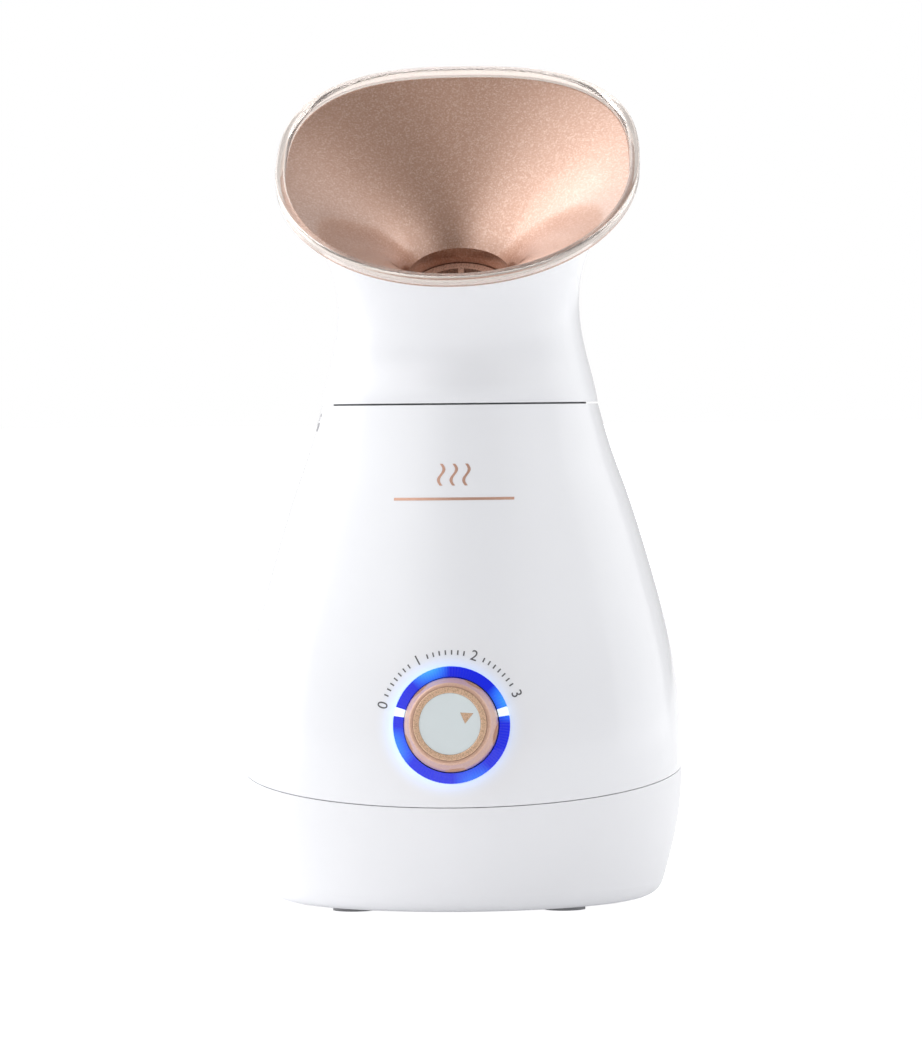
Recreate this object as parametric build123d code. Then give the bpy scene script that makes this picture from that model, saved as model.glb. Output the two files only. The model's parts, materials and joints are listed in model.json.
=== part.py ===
from build123d import *
from math import atan2, cos, degrees, hypot, pi, radians, sin
import os

# A free-standing facial steamer: a pear-shaped casing that holds a water tank, its heater and its electrics,
# a towel tray that hangs in the tank, and a flared head that twists off for filling.
# Millimetres. +Z is up and the origin is the centre of the plane that the feet stand on.
# The user faces the -Y side, where the knob is and towards which the head leans.

# Casing: a body of revolution, cut into base and body by a slanted seam
FOOT_HEIGHT = 1.6
WALL = 2.4
CORNER_RADIUS = 7.4
CORNER_CENTRE_RADIUS = 61.2
CORNER_TURN = 74
CASING_SIDE = [(73.6, 29), (75, 50), (72.6, 80.6), (65.4, 111.4), (56.0, 142)]
NECK_RADIUS = 47.2
NECK_Z = 170.0
NECK_SLOPE = (-0.255, 1)
NECK_GAP = 0.6
SEAM_Z = 46.4
SEAM_TILT = 7.1
SEAM_GAP = 0.3
TONGUE_INSET = WALL + 0.1
TONGUE_WALL = 1.4
TONGUE_DEPTH = 5.0
TONGUE_HEIGHT = 3.5
FLOOR_TOP = FOOT_HEIGHT + WALL

# Feet, housing screws and the posts that they join
FOOT_RADIUS = 7.0
FOOT_RECESS = 0.8
FOOT_PLACES = [(35.5 * x, 35.5 * y) for x in (-1, 1) for y in (-1, 1)]
POST_RADIUS = 4.6
POST_TOP = 33.0
POST_PLACES = [(51.7 * x, 18.8 * y) for x in (-1, 1) for y in (-1, 1)]
POST_CEILING = 72.0
RIB_LOW = 56.0
SCREW_SEAT = 10.0
SCREW_SHANK = 1.45
SCREW_HOLE = 1.5
SCREW_PASS = 1.75
SCREW_LENGTH = 34.0
SCREW_HEAD = 2.9
SCREW_HEAD_HEIGHT = 2.2

# Cord gland at the back of the base
GLAND_Z = 38.0
GLAND_BORE = 3.6
GLAND_RADIUS = 6.2
GLAND_HOLE = 6.4
GLAND_FLANGE = 8.0
GLAND_BACK = 77.5
GLAND_FACE = 74.0
GLAND_FRONT = 62.5
GLAND_NUT_FRONT = 67.5

# Tank, its collar and the heater below it
TANK_RADIUS = 44.0
TANK_WALL = 2.4
TANK_BOTTOM = 60.0
TANK_FLOOR = 2.5
TANK_TOP = 150.0
FLANGE_RADIUS = 49.2
FLANGE_HEIGHT = 3.0
FLANGE_SCREW_CIRCLE = 46.9
COLLAR_RADIUS = 44.3
COLLAR_BORE = 40.2
COLLAR_LEDGE_BORE = 37.4
COLLAR_LEDGE_Z = 156.0
COLLAR_TOP = 169.3
SEAT_TOP = 157.0
PLATE_HOLE = 31.0
PLATE_RADIUS = 36.8
PLATE_BOTTOM = 57.0
PLATE_THICKNESS = 1.5
CLAMP_CIRCLE = 40.0
HEATER_CIRCLE = 22.0
HEATER_TUBE = 3.4

# Twist lock between the head and the collar
LUG_COUNT = 3
LUG_RADIUS = 42.5
LUG_POCKET_RADIUS = 43.1
LUG_LOW = 161.0
LUG_HIGH = 164.0
LUG_WIDTH = 14
LUG_TURN = 25
LUG_PLAY = 1.5
POCKET_LOW = 160.0

# Towel tray
TRAY_RIM = 39.6
TRAY_RADIUS = 36.8
TRAY_WALL = 1.6
TRAY_BOTTOM = 104.0
TRAY_TOP = 158.0

# Head: lofted from the neck circle to the rim, whose plane leans towards the user
RIM_Y = -2.0
RIM_Z = 253.0
RIM_TILT = 37
RIM_SIDE = 62.3
RIM_FRONT = 68.1
RIM_BACK = 59.4
RIM_HEIGHT = 4.0
RIM_SEAT = 2.9
RIM_WIDTH = 3.6
RIM_LAND = 1.9
RIM_SKIRT = 1.4
RIM_ROUND = 1.0
HEAD_INSET = 3.2
HEAD_WALL = 2.3
HEAD_TOP_DEPTH = 4.2
# Centre y and z, tilt, half width, front and back half lengths, and squareness of each section of the head
HEAD_SECTIONS = [
    (-0.5, 188, 12, 43.1, 45.5, 43.0, 0),
    (-1.5, 206, 24, 41.2, 45.4, 41.0, 0),
    (-1.8, 222, 29.5, 44.0, 49.0, 41.8, 0.2),
    (-1.6, 237, 33.5, 50.8, 56.0, 46.8, 0.6),
]
SECTION_POINTS = 36

# Funnel and what stands in its throat
THROAT_Y = 2.0
THROAT_Z = 213.5
THROAT_TILT = 35
THROAT_RADIUS = 18.0
FUNNEL_WALL = 1.8
FUNNEL_FLARE = 1.55
FUNNEL_TAPER = 0.35
FUNNEL_STEPS = (0, 0.25, 0.5, 0.75, 1)
SKIRT_LENGTH = 11.0
DUCT_RADIUS = 15.4
DUCT_MOUTH = 17.4
DUCT_WALL = 1.6
DUCT_DROP = 8.0
BASKET_CUP = 9.6
COUPLING_PLATE = 43.4
COUPLING_LOW = 171.0
COUPLING_HIGH = 173.4
SPIGOT_RADIUS = 39.7
SPIGOT_WALL = 2.4
SPIGOT_LOW = 160.2
HEAD_POST_CIRCLE = 33.4
HEAD_POST_TOP = 190.0

# Knob, its light ring and its switch, along an axis that tips up
KNOB_Z = 64.5
KNOB_TILT = 6
KNOB_RADIUS = 15.5
KNOB_TOP_RADIUS = 12.9
KNOB_HEIGHT = 7.4
KNOB_LOW = -4.5
KNOB_LOBES = 5
SCALLOP_RADIUS = 14.0
SCALLOP_DEPTH = 1.0
POINTER_ANGLE = 24
DIAL_RADIUS = 10.1
TRIM_RADIUS = 12.1
RING_BORE = 15.9
RING_RADIUS = 19.2
RING_FLANGE = 22.0
RING_LOW = -8.0
RING_PROUD = 0.5
SHAFT_RADIUS = 3.0
SHAFT_PLAY = 0.05
BRACKET_LOW = -14.0
SWITCH_SIZE = 24.0

# Control board on the floor of the base
BOARD_Z = 18.0
BOARD_SIZE = (62.0, 44.0, 1.6)
BOARD_Y = -14.0
BOARD_SCREWS = [(26.0 * x, BOARD_Y + 17.0 * y) for x in (-1, 1) for y in (-1, 1)]

SEAM = Plane(origin=(0, 0, SEAM_Z), z_dir=(0, -sin(radians(SEAM_TILT)), cos(radians(SEAM_TILT))))
KNOB = Plane(
    origin=(0, -74.5, KNOB_Z),
    x_dir=(1, 0, 0),
    z_dir=(0, -cos(radians(KNOB_TILT)), sin(radians(KNOB_TILT))),
)


# Plain shapes

def disc(radius, bottom, top, x=0, y=0):
    up = (Align.CENTER, Align.CENTER, Align.MIN)
    return Pos(x, y, bottom) * Cylinder(radius, top - bottom, align=up)


def tube(inner, outer, bottom, top, x=0, y=0):
    return disc(outer, bottom, top, x, y) - disc(inner, bottom, top, x, y)


def block(width, depth, bottom, top, x=0, y=0):
    up = (Align.CENTER, Align.CENTER, Align.MIN)
    return Pos(x, y, bottom) * Box(width, depth, top - bottom, align=up)


def around(count, radius, start=0):
    turns = [radians(start + 360 * k / count) for k in range(count)]
    return [(radius * cos(turn), radius * sin(turn)) for turn in turns]


def union(shapes):
    total = shapes[0]
    for shape in shapes[1:]:
        total = total + shape
    return total


def screw(seat, length, shank, x=0, y=0, head=SCREW_HEAD, head_height=SCREW_HEAD_HEIGHT):
    # A pan head under the seat, a cross slot in it, and a shank that points up
    body = disc(head, seat - head_height, seat, x, y) + disc(shank, seat, seat + length, x, y)
    slots = [(1.2 * head, 0.3 * head), (0.3 * head, 1.2 * head)]
    for width, depth in slots:
        body = body - block(width, depth, seat - head_height, seat - 0.5 * head_height, x, y)
    return body


# Casing

def casing(inset):
    # The whole body of revolution, drawn in by a wall's thickness
    turn = radians(CORNER_TURN)
    radius = CORNER_RADIUS - inset
    low = (CORNER_CENTRE_RADIUS, 0, FOOT_HEIGHT + inset)
    high = (
        CORNER_CENTRE_RADIUS + radius * sin(turn),
        0,
        FOOT_HEIGHT + CORNER_RADIUS - radius * cos(turn),
    )
    corner = TangentArc(low, high, tangent=(1, 0, 0))
    points = [high] + [(r - inset, 0, z) for r, z in CASING_SIDE] + [(NECK_RADIUS - inset, 0, NECK_Z)]
    ends = [(cos(turn), 0, sin(turn)), (NECK_SLOPE[0], 0, NECK_SLOPE[1])]
    side = Spline(*points, tangents=ends)
    rest = Polyline((NECK_RADIUS - inset, 0, NECK_Z), (0, 0, NECK_Z), (0, 0, low[2]), low)
    return revolve(make_face([corner, side, rest]), Axis.Z)


def below(shape, plane):
    return split(shape, bisect_by=plane, keep=Keep.BOTTOM)


def above(shape, plane):
    return split(shape, bisect_by=plane, keep=Keep.TOP)


def base_shell():
    shell = below(casing(0) - casing(WALL), SEAM.offset(-SEAM_GAP / 2))
    tongue = casing(TONGUE_INSET) - casing(TONGUE_INSET + TONGUE_WALL)
    tongue = above(below(tongue, SEAM.offset(TONGUE_HEIGHT)), SEAM.offset(-TONGUE_DEPTH))
    joint = casing(WALL - 0.3) - casing(TONGUE_INSET + 0.3)
    joint = above(below(joint, SEAM.offset(-1)), SEAM.offset(-TONGUE_DEPTH))
    posts = [disc(POST_RADIUS, FLOOR_TOP - 1, POST_TOP, x, y) for x, y in POST_PLACES]
    stands = [disc(2.8, FLOOR_TOP - 1, BOARD_Z, x, y) for x, y in BOARD_SCREWS]
    shell = union([shell, tongue, joint] + posts + stands)
    for x, y in POST_PLACES:
        shell = shell - disc(SCREW_PASS, 0, POST_TOP + 1, x, y) - disc(3.3, 0, SCREW_SEAT, x, y)
    for x, y in BOARD_SCREWS:
        shell = shell - disc(1.25, 8, BOARD_Z + 1, x, y)
    for x, y in FOOT_PLACES:
        shell = shell - disc(FOOT_RADIUS + 0.1, 0, FOOT_HEIGHT + FOOT_RECESS, x, y)
    for k in range(-3, 4):
        shell = shell - block(3, 30 - 4 * abs(k), 0, FLOOR_TOP + 1, 7 * k, 8)
    # The gland's hole, with a spot face that its flange seats on
    hole = disc(GLAND_HOLE, GLAND_FRONT, 90) + disc(GLAND_FLANGE + 0.3, GLAND_FACE, 90)
    return shell - Pos(0, 0, GLAND_Z) * Rot(-90, 0, 0) * hole


def body_shell():
    shell = above(casing(0) - casing(WALL), SEAM.offset(SEAM_GAP / 2))
    shell = shell - disc(NECK_RADIUS + 5, NECK_Z - NECK_GAP / 2, NECK_Z + 1)
    skin = casing(WALL - 0.4)
    # Four posts, each tied to the wall by a rib, that the housing screws enter
    for x, y in POST_PLACES:
        rib = Rot(0, 0, degrees(atan2(y, x))) * block(40, 2.4, RIB_LOW, POST_CEILING, hypot(x, y) + 20)
        shell = shell + disc(POST_RADIUS, POST_TOP + 0.2, POST_CEILING, x, y) + (rib & skin)
    # The seat that the tank's collar is screwed up against
    seat = disc(NECK_RADIUS + 10, COLLAR_LEDGE_Z - 3, SEAT_TOP) - disc(COLLAR_RADIUS + 0.3, 100, 180)
    shell = shell + (seat & skin)
    for x, y in POST_PLACES:
        shell = shell - disc(SCREW_HOLE, POST_TOP - 1, SCREW_SEAT + SCREW_LENGTH + 2, x, y)
    for x, y in around(4, FLANGE_SCREW_CIRCLE, 45):
        shell = shell - disc(SCREW_HOLE, TANK_TOP, SEAT_TOP - 0.6, x, y)
    # The knob's opening, and two bosses for the switch bracket
    bosses = KNOB.location * union([disc(3.4, BRACKET_LOW + 1.6, 2, x) for x in (-27, 27)])
    shell = shell + (bosses & skin)
    pilots = union([disc(1.1, BRACKET_LOW, -9, x) for x in (-27, 27)])
    opening = disc(RING_RADIUS + 0.15, -20, 20)
    return shell - KNOB.location * (opening + pilots)


def feet():
    return union([disc(FOOT_RADIUS, 0, FOOT_HEIGHT + FOOT_RECESS, x, y) for x, y in FOOT_PLACES])


def housing_screws():
    return union([screw(SCREW_SEAT, SCREW_LENGTH, SCREW_SHANK, x, y) for x, y in POST_PLACES])


def cord_gland():
    # A flanged bush through the wall, with the bore that the cord passes
    lengths = Rot(-90, 0, 0)
    bush = disc(GLAND_RADIUS, GLAND_FRONT, GLAND_FACE + 1) + disc(GLAND_FLANGE, GLAND_FACE, GLAND_BACK)
    bush = fillet(bush.edges().group_by(Axis.Z)[-1], 1.6)
    bush = bush - disc(GLAND_BORE, GLAND_FRONT - 1, GLAND_BACK + 1)
    return Pos(0, 0, GLAND_Z) * lengths * bush


def gland_nut():
    nut = extrude(Pos(0, 0, GLAND_NUT_FRONT) * RegularPolygon(9.2, 6), 3.5)
    nut = nut - disc(GLAND_RADIUS + 0.05, GLAND_FRONT, GLAND_BACK)
    return Pos(0, 0, GLAND_Z) * Rot(-90, 0, 0) * nut


# Tank and heater

def tank():
    # A tube with a flange at its top, which carries the tank's seal in a groove
    body = tube(TANK_RADIUS - TANK_WALL, TANK_RADIUS, TANK_BOTTOM + TANK_FLOOR, TANK_TOP)
    body = body + tube(TANK_RADIUS - 1, FLANGE_RADIUS, TANK_TOP - FLANGE_HEIGHT, TANK_TOP)
    body = body - tube(TANK_RADIUS - TANK_WALL + 1, TANK_RADIUS - TANK_WALL + 2.4, TANK_TOP - 1, TANK_TOP + 1)
    for x, y in around(4, FLANGE_SCREW_CIRCLE, 45):
        body = body - disc(SCREW_PASS, TANK_TOP - 10, TANK_TOP + 1, x, y)
    return body


def tank_floor():
    # A ring welded to the tube's lower end, with the heating plate's hole and its screw holes
    floor = tube(PLATE_HOLE, TANK_RADIUS, TANK_BOTTOM, TANK_BOTTOM + TANK_FLOOR)
    for x, y in around(4, CLAMP_CIRCLE, 45):
        floor = floor - disc(SCREW_HOLE, TANK_BOTTOM - 1, TANK_BOTTOM + 2, x, y)
    return floor


def tank_seal():
    return tube(TANK_RADIUS - TANK_WALL + 1.05, TANK_RADIUS - TANK_WALL + 2.35, TANK_TOP - 1, TANK_TOP)


def tank_collar():
    body = disc(COLLAR_RADIUS, TANK_TOP, COLLAR_TOP)
    body = body + disc(FLANGE_RADIUS, TANK_TOP, TANK_TOP + FLANGE_HEIGHT)
    body = body - disc(COLLAR_LEDGE_BORE, TANK_TOP - 1, COLLAR_TOP + 1)
    body = body - disc(COLLAR_BORE, COLLAR_LEDGE_Z, COLLAR_TOP + 1)
    for x, y in around(4, FLANGE_SCREW_CIRCLE, 45):
        body = body - disc(SCREW_PASS, TANK_TOP - 1, TANK_TOP + 10, x, y)
    # Each lug drops into its pocket from above and turns inside it
    sweep = LUG_WIDTH + LUG_TURN + 2 * LUG_PLAY
    start = -LUG_WIDTH / 2 - LUG_PLAY
    for k in range(LUG_COUNT):
        body = body - sector(LUG_POCKET_RADIUS, POCKET_LOW, COLLAR_TOP + 1, start + 120 * k, sweep)
    return body


def sector(radius, bottom, top, start, sweep):
    wedge = Cylinder(radius, top - bottom, arc_size=sweep, align=(Align.NONE, Align.NONE, Align.MIN))
    return Pos(0, 0, bottom) * Rot(0, 0, start) * wedge


def tank_screws():
    seat = TANK_TOP - FLANGE_HEIGHT
    length = SEAT_TOP - 1.4 - seat
    places = around(4, FLANGE_SCREW_CIRCLE, 45)
    return union([screw(seat, length, SCREW_SHANK, x, y, head=2.5) for x, y in places])


def plate_seal():
    return tube(PLATE_HOLE + 0.8, PLATE_RADIUS, PLATE_BOTTOM + PLATE_THICKNESS, TANK_BOTTOM)


def heating_plate():
    rim = disc(PLATE_RADIUS, PLATE_BOTTOM, PLATE_BOTTOM + PLATE_THICKNESS)
    crown = disc(PLATE_HOLE - 0.4, PLATE_BOTTOM, TANK_BOTTOM + 0.6)
    return fillet((rim + crown).edges().group_by(Axis.Z)[-1], 0.8)


def heater_element():
    # A tubular element bent into an open ring under the plate, with its two cold ends turned down
    path_radius = HEATER_CIRCLE
    z = PLATE_BOTTOM - HEATER_TUBE
    loop = Pos(0, 0, z) * Rot(0, 0, 20) * Torus(path_radius, HEATER_TUBE, major_angle=320)
    for turn in (20, -20):
        x = path_radius * cos(radians(turn))
        y = path_radius * sin(radians(turn))
        loop = loop + Pos(x, y, z) * Sphere(HEATER_TUBE) + disc(HEATER_TUBE - 1.2, z - 10, z, x, y)
    return loop


def plate_clamp():
    ring = tube(33, 43, PLATE_BOTTOM - 2, PLATE_BOTTOM) + tube(PLATE_RADIUS + 0.3, 43, PLATE_BOTTOM - 2, 59.6)
    for x, y in around(4, CLAMP_CIRCLE, 45):
        ring = ring - disc(SCREW_PASS, 40, 70, x, y)
    return ring


def clamp_screws():
    seat = PLATE_BOTTOM - 2
    return union([screw(seat, 6.6, SCREW_SHANK, x, y, head=2.7) for x, y in around(4, CLAMP_CIRCLE, 45)])


def thermostat():
    body = disc(7.6, PLATE_BOTTOM - 5.5, PLATE_BOTTOM) + disc(8.6, PLATE_BOTTOM - 9.5, PLATE_BOTTOM - 5.5)
    tags = [block(0.8, 6.3, PLATE_BOTTOM - 17, PLATE_BOTTOM - 9, x) for x in (-4.5, 4.5)]
    return union([body] + tags)


def thermal_fuse():
    return Pos(0, 13.4, PLATE_BOTTOM - 2) * Rot(0, 90, 0) * Cylinder(2, 12)


# Electrics in the base

def control_board():
    width, depth, thickness = BOARD_SIZE
    board = block(width, depth, BOARD_Z, BOARD_Z + thickness, 0, BOARD_Y)
    board = fillet(board.edges().filter_by(Axis.Z), 3)
    for x, y in BOARD_SCREWS:
        board = board - disc(1.6, 0, 30, x, y)
    return board


def board_screws():
    top = BOARD_Z + BOARD_SIZE[2]
    return union([Pos(x, y, top) * Rot(180, 0, 0) * screw(0, 9, 1.2, head=2.4) for x, y in BOARD_SCREWS])


def relay():
    top = BOARD_Z + BOARD_SIZE[2]
    case = block(15, 19, top, top + 14, -14, BOARD_Y)
    return fillet(case.edges().group_by(Axis.Z)[-1], 0.8)


def capacitors():
    top = BOARD_Z + BOARD_SIZE[2]
    cans = [disc(4, top, top + 11, 8, BOARD_Y + 12), disc(5, top, top + 12, 10, BOARD_Y - 10)]
    cans = [fillet(can.edges().group_by(Axis.Z)[-1], 0.6) for can in cans]
    return union(cans + [disc(3, top, top + 8, 20, BOARD_Y)])


def terminal_block():
    case = block(26, 14, FLOOR_TOP, FLOOR_TOP + 12, 0, 36)
    for x in (-8, 0, 8):
        case = case - disc(2.1, FLOOR_TOP + 4, FLOOR_TOP + 13, x, 36)
        case = case - Pos(x, 36, FLOOR_TOP + 4.5) * Rot(90, 0, 0) * Cylinder(1.7, 20)
    return case


# Towel tray

def towel_tray():
    body = disc(TRAY_RADIUS, TRAY_BOTTOM, TRAY_TOP) + disc(TRAY_RIM, COLLAR_LEDGE_Z, TRAY_TOP)
    body = fillet(body.edges().group_by(Axis.Z)[0], 4)
    well = disc(TRAY_RADIUS - TRAY_WALL, TRAY_BOTTOM + 2, TRAY_TOP + 1)
    body = body - fillet(well.edges().group_by(Axis.Z)[0], 3)
    # Steam rises through rings of holes in the floor and slots in the wall
    for count, radius in ((1, 0), (6, 9), (12, 18), (18, 27)):
        for x, y in around(count, radius):
            body = body - disc(1.6, TRAY_BOTTOM - 1, TRAY_BOTTOM + 5, x, y)
    slot = block(20, 3, 0, 26)
    for k in range(12):
        body = body - Rot(0, 0, 15 + 30 * k) * Pos(TRAY_RADIUS, 0, TRAY_BOTTOM + 12) * slot
    return body


# Head

def plane_at(y, z, tilt):
    return Plane(origin=(0, y, z), x_dir=(1, 0, 0), z_dir=(0, -sin(radians(tilt)), cos(radians(tilt))))


RIM = plane_at(RIM_Y, RIM_Z, RIM_TILT)
THROAT = plane_at(THROAT_Y, THROAT_Z, THROAT_TILT)


def reach(turn, side, front, back, squareness):
    # Distance from the centre to an outline that is an ellipse at squareness 0 and fuller at 1
    power = 2 + squareness * (0.325 + 0.275 * sin(turn) / hypot(sin(turn), 0.15))
    length = back if sin(turn) > 0 else front
    return ((abs(cos(turn)) / side) ** power + (abs(sin(turn)) / length) ** power) ** (-1 / power)


def outline(plane, side, front, back, squareness, inset=0):
    # A closed curve in the plane, drawn in by the inset along its own normal
    points = []
    step = 1e-4
    for k in range(SECTION_POINTS):
        turn = 2 * pi * k / SECTION_POINTS
        radius = reach(turn, side, front, back, squareness)
        ahead = reach(turn + step, side, front, back, squareness)
        behind = reach(turn - step, side, front, back, squareness)
        slope = (ahead - behind) / (2 * step)
        normal = Vector(radius * cos(turn) + slope * sin(turn), radius * sin(turn) - slope * cos(turn), 0)
        point = Vector(radius * cos(turn), radius * sin(turn), 0) - normal.normalized() * inset
        points.append(plane.from_local_coords(point))
    return Wire([Spline(*points, periodic=True)])


def rim_outline(depth, inset):
    return outline(RIM.offset(-depth), RIM_SIDE, RIM_FRONT, RIM_BACK, 1, inset)


def rim_ring(outer, inner, high, low):
    # A flat ring in the rim's plane, between two insets and two depths
    whole = extrude(Face(rim_outline(low, outer)), low - high, dir=RIM.z_dir)
    return whole - extrude(Face(rim_outline(low + 1, inner)), low - high + 2, dir=RIM.z_dir)


def head_form(inset, top_depth):
    # The head's outside, or the hollow inside it, as one solid
    neck = plane_at(0, NECK_Z + NECK_GAP / 2 - (5 if inset else 0), 0)
    neck_radius = NECK_RADIUS + (1.2 if inset else 0)
    sections = [outline(neck, neck_radius, neck_radius, neck_radius, 0, inset)]
    for y, z, tilt, side, front, back, squareness in HEAD_SECTIONS:
        sections.append(outline(plane_at(y, z, tilt), side, front, back, squareness, inset))
    sections.append(rim_outline(top_depth, HEAD_INSET + inset))
    return Solid.make_loft(sections)


def funnel_form(grow):
    # The bowl's inside as one solid, or its outside where grow is the wall's thickness
    seat = RIM.offset(-RIM_SEAT)
    sections = []
    for u in FUNNEL_STEPS:
        flare = u ** FUNNEL_FLARE
        swell = grow + FUNNEL_TAPER * u * (grow > 0)
        centre = THROAT.origin * (1 - u) + seat.origin * u
        tilt = THROAT_TILT + (RIM_TILT - THROAT_TILT) * u
        sides = [
            THROAT_RADIUS + (full - RIM_WIDTH - 0.1 - THROAT_RADIUS) * flare + swell
            for full in (RIM_SIDE, RIM_FRONT, RIM_BACK)
        ]
        sections.append(outline(plane_at(centre.Y, centre.Z, tilt), *sides, flare))
    return Solid.make_loft(sections)


def funnel_cone():
    # The inside and outside surfaces, closed by a flat ring at the throat and one at the rim's seat
    forms = [funnel_form(grow) for grow in (FUNNEL_WALL, 0)]
    walls = [face for form in forms for face in form.faces() if face.geom_type != GeomType.PLANE]
    ends = [form.faces().filter_by(GeomType.PLANE).sort_by(Axis.Z) for form in forms]
    caps = [Face(outer.outer_wire(), [inner.outer_wire()]) for outer, inner in zip(*ends)]
    bowl = Solid(Shell(walls + caps))
    # A straight skirt under the throat, which the steam duct's mouth stands in
    return bowl + extrude(caps[0], SKIRT_LENGTH, dir=-THROAT.z_dir)


def clear_rim():
    # The clear lip: a flat land, a slope into the bowl, and a skirt around the funnel's flange
    ring = rim_ring(0, RIM_WIDTH, 0, RIM_HEIGHT)
    slope = Solid.make_loft([rim_outline(RIM_WIDTH - RIM_LAND, RIM_WIDTH), rim_outline(-0.5, RIM_LAND - 0.5)])
    ring = ring - slope
    seat = extrude(Face(rim_outline(RIM_HEIGHT + 1, RIM_SKIRT)), RIM_HEIGHT + 1 - RIM_SEAT, dir=RIM.z_dir)
    ring = ring - seat
    # The longest edge that lies in the rim's plane is the outer one
    level = [edge for edge in ring.edges() if abs(RIM.to_local_coords(edge.center()).Z) < 0.01]
    return fillet(max(level, key=lambda edge: edge.length), RIM_ROUND)


def head_shell():
    shell = head_form(0, HEAD_TOP_DEPTH) - head_form(HEAD_WALL, HEAD_TOP_DEPTH - 0.5)
    shell = shell - funnel_form(FUNNEL_WALL + 0.3)
    hollow = head_form(HEAD_WALL - 0.5, HEAD_TOP_DEPTH)
    # Posts for the three screws that hold the coupling ring
    for x, y in around(LUG_COUNT, HEAD_POST_CIRCLE, 30):
        rib = Rot(0, 0, degrees(atan2(y, x))) * block(16, 2.4, 176, HEAD_POST_TOP, HEAD_POST_CIRCLE + 8)
        shell = shell + disc(4, COUPLING_HIGH, HEAD_POST_TOP, x, y) + (rib & hollow)
    for x, y in around(LUG_COUNT, HEAD_POST_CIRCLE, 30):
        shell = shell - disc(SCREW_HOLE, 170, 186, x, y)
    return shell


def coupling_ring():
    body = disc(COUPLING_PLATE, COUPLING_LOW, COUPLING_HIGH)
    body = body + tube(SPIGOT_RADIUS - SPIGOT_WALL, SPIGOT_RADIUS, SPIGOT_LOW, COUPLING_LOW + 1)
    for k in range(LUG_COUNT):
        lug = sector(LUG_RADIUS, LUG_LOW, LUG_HIGH, 120 * k - LUG_WIDTH / 2, LUG_WIDTH)
        body = body + (lug - disc(SPIGOT_RADIUS - 1, 100, 200))
    body = body - disc(DUCT_RADIUS - DUCT_WALL, 100, 200)
    for x, y in around(6, 28):
        body = body - disc(3.2, 100, 200, x, y)
    for x, y in around(LUG_COUNT, HEAD_POST_CIRCLE, 30):
        body = body - disc(SCREW_PASS, COUPLING_LOW - 1, 200, x, y)
    return body


def head_screws():
    places = around(LUG_COUNT, HEAD_POST_CIRCLE, 30)
    return union([screw(COUPLING_LOW, 12, SCREW_SHANK, x, y, head=2.7, head_height=1.8) for x, y in places])


def head_seal():
    return tube(SPIGOT_RADIUS + 0.3, 43.2, COLLAR_TOP + 0.1, COUPLING_LOW - 0.1)


def steam_duct():
    # Leads the steam from the coupling ring to the tilted throat
    low = Plane(origin=(0, 0, COUPLING_HIGH))
    high = THROAT.offset(-DUCT_DROP)

    def duct(inset, extra):
        rings = [low.offset(-extra), low.offset(6), high.offset(-6), high.offset(extra)]
        radii = [radius - inset for radius in (DUCT_RADIUS, DUCT_RADIUS, DUCT_MOUTH, DUCT_MOUTH)]
        return Solid.make_loft([outline(ring, radius, radius, radius, 0) for ring, radius in zip(rings, radii)])

    body = duct(0, 0) + tube(DUCT_RADIUS - 1, DUCT_RADIUS + 5, COUPLING_HIGH, COUPLING_HIGH + 2)
    return body - duct(DUCT_WALL, 0.01)


def aroma_basket():
    # A ring on the duct's end, three spokes, and a cup for the scented pad
    body = tube(14.4, DUCT_MOUTH + 0.2, 0, 2)
    spokes = [Rot(0, 0, 90 + 120 * k) * block(6.4, 2, 0, 2, 12) for k in range(3)]
    cup = disc(BASKET_CUP, -3, 2.4) - disc(BASKET_CUP - 1.2, -1.8, 5)
    return THROAT.offset(-DUCT_DROP).location * union([body, cup] + spokes)


def aroma_pad():
    return THROAT.offset(-DUCT_DROP).location * disc(BASKET_CUP - 1.5, -1.8, 1.4)


# Knob and switch, each drawn with its axis up and then laid on the knob's axis

def light_ring():
    # Its face follows the casing, a little proud of it
    ring = tube(RING_BORE, RING_RADIUS, RING_LOW, 6) + tube(RING_BORE, RING_FLANGE, RING_LOW, RING_LOW + 1.4)
    ring = ring - tube(16.7, 18.6, RING_LOW - 1, RING_LOW + 1.7)
    ring = KNOB.location * ring
    return ring & casing(-RING_PROUD)


def led_board():
    board = tube(9, RING_FLANGE, RING_LOW - 1.65, RING_LOW - 0.05)
    leds = [block(1.2, 1.2, RING_LOW - 0.06, RING_LOW + 1.3, x, y) for x, y in around(8, 17.65, 22.5)]
    return KNOB.location * union([board] + leds)


def knob():
    profile = [(KNOB_RADIUS, KNOB_LOW), (KNOB_RADIUS, 0.5)]
    shoulder = [(KNOB_TOP_RADIUS + 0.9, KNOB_HEIGHT - 1.3), (KNOB_TOP_RADIUS, KNOB_HEIGHT)]
    wall = Polyline(*[(r, 0, z) for r, z in [(0, KNOB_LOW)] + profile])
    edge = [(KNOB_RADIUS, 0, 0.5)] + [(r, 0, z) for r, z in shoulder]
    curve = Spline(*edge, tangents=[(0, 0, 1), (-1, 0, 0.2)])
    roof = Polyline((KNOB_TOP_RADIUS, 0, KNOB_HEIGHT), (0, 0, KNOB_HEIGHT), (0, 0, KNOB_LOW))
    body = revolve(make_face([wall, curve, roof]), Axis.Z)
    scallop_circle = KNOB_RADIUS - SCALLOP_DEPTH + SCALLOP_RADIUS
    for x, y in around(KNOB_LOBES, scallop_circle, POINTER_ANGLE + 180 / KNOB_LOBES):
        body = body - disc(SCALLOP_RADIUS, 0.3, 20, x, y)
    body = body - disc(TRIM_RADIUS + 0.15, KNOB_HEIGHT - 1.0, 20)
    body = body - tube(6, KNOB_RADIUS - 2, KNOB_LOW - 1, KNOB_HEIGHT - 3.2)
    return KNOB.location * (body - disc(SHAFT_RADIUS, KNOB_LOW - 1, 3.5))


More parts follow.
